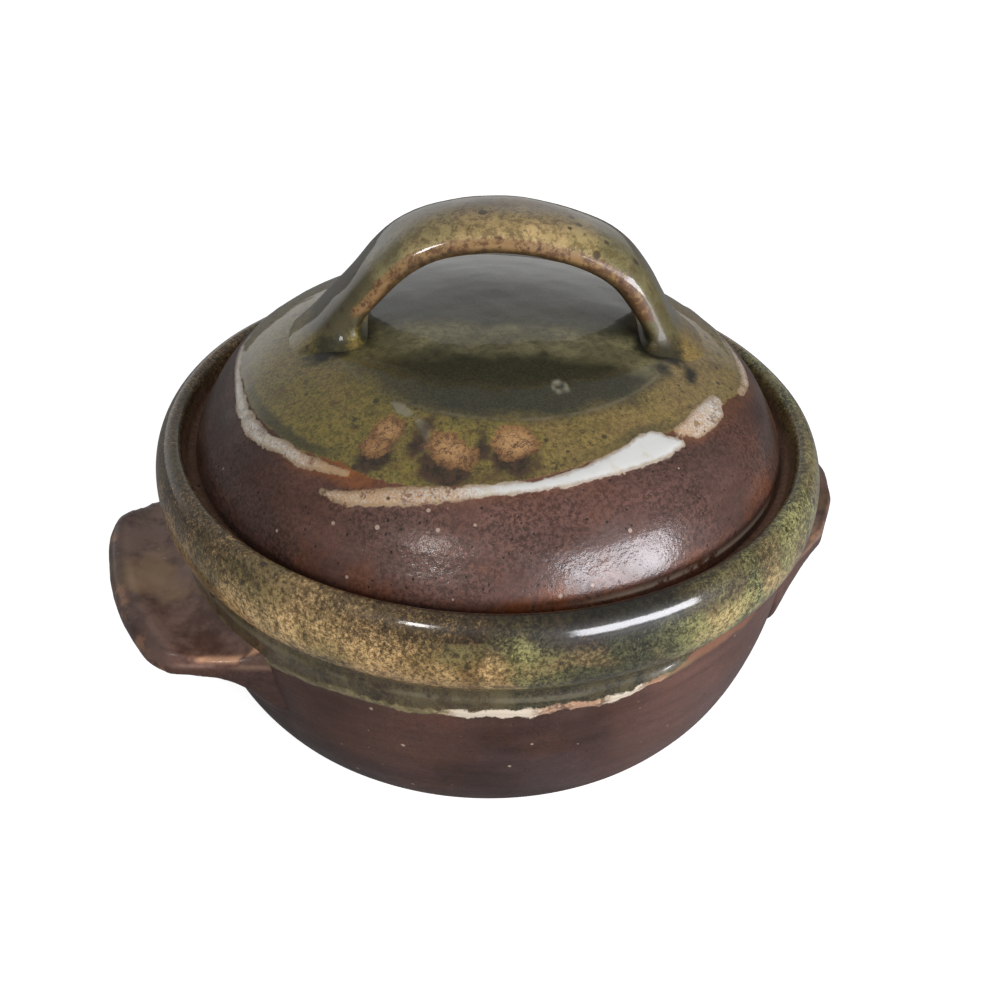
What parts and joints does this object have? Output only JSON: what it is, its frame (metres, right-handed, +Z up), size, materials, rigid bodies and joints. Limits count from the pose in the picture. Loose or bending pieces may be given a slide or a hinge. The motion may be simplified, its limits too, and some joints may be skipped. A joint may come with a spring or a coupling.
{
  "type": "lidded stoneware bean pot",
  "caption": "Low round stoneware pot with a rolled rim, two slab lugs and a domed drop-in lid that lifts off by a strap handle.",
  "frame": {"origin": "centre of the foot on the table", "axes": "+Z up along the pot's axis, +X through the right lug, -X through the left lug"},
  "size_m": [0.234, 0.2, 0.1525],
  "materials": {
    "pot_stoneware": "satin iron-brown glaze, olive glaze on the rolled rim",
    "lid_glaze": "glossy olive and iron-brown glaze with cream edges"
  },
  "bodies": {
    "pot": {"pot_body": "pot_stoneware", "lug_left": "pot_stoneware", "lug_right": "pot_stoneware"},
    "lid": {"lid_dome": "lid_glaze", "lid_handle": "lid_glaze"}
  },
  "joints": [
    {"name": "lid_lift", "type": "slide", "parent": "pot", "child": "lid", "axis": [0, 0, 1], "range_m": [0, 0.13]}
  ]
}
